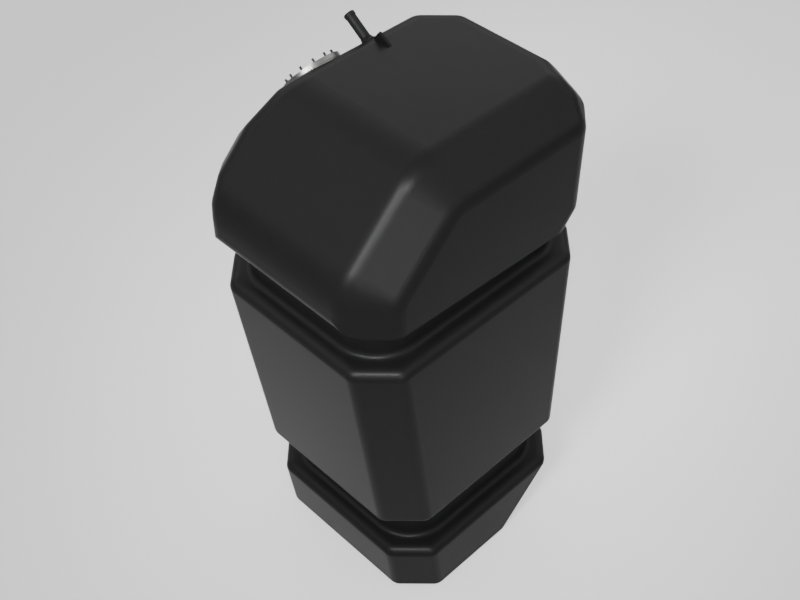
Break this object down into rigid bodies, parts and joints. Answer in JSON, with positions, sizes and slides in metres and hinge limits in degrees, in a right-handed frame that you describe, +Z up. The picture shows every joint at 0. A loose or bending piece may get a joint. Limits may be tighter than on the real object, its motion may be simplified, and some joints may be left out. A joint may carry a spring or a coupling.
{
  "type": "fresh water tank",
  "caption": "Upright moulded plastic water tank for a food truck, with strap grooves, a studded sender cover, a vent spout, a float gauge and a drain plug.",
  "frame": {"origin": "on the underside, midway between front and back, at the mount base_rest", "axes": "+Z up, +X to the right along the wide front face, +Y from the front face to the back"},
  "size_m": [0.531, 0.4164, 1.0306],
  "materials": {
    "shell": "satin",
    "steel": "brushed",
    "zinc": "satin",
    "rubber": "matt",
    "nylon": "matt",
    "brass": "satin",
    "stainless": "satin",
    "foam": "matt",
    "magnet": "matt",
    "fitting": "semi-gloss"
  },
  "bodies": {
    "tank": {"tank_shell": "shell", "stud_ring": "steel", "cover_studs": "zinc", "cover_gasket": "rubber", "cover_plate": "steel", "clamp_ring": "steel", "clamp_washers": "zinc", "clamp_nuts": "zinc", "sender_seal": "rubber", "sender_head": "nylon", "sender_screws": "zinc", "sender_terminals": "brass", "sender_locknut": "nylon", "sender_stem": "stainless", "float_lower_stop": "nylon", "float_upper_stop": "nylon", "vent_seal": "rubber", "vent_spout": "fitting", "vent_nut": "nylon", "drain_insert": "brass", "drain_seal": "rubber", "drain_plug": "fitting"},
    "float": {"level_float": "foam", "float_magnet": "magnet", "float_cap": "foam"}
  },
  "joints": [
    {"name": "float_slide", "type": "slide", "parent": "tank", "child": "float", "axis": [0, 0, 1], "range_m": [0, 0.74]}
  ]
}
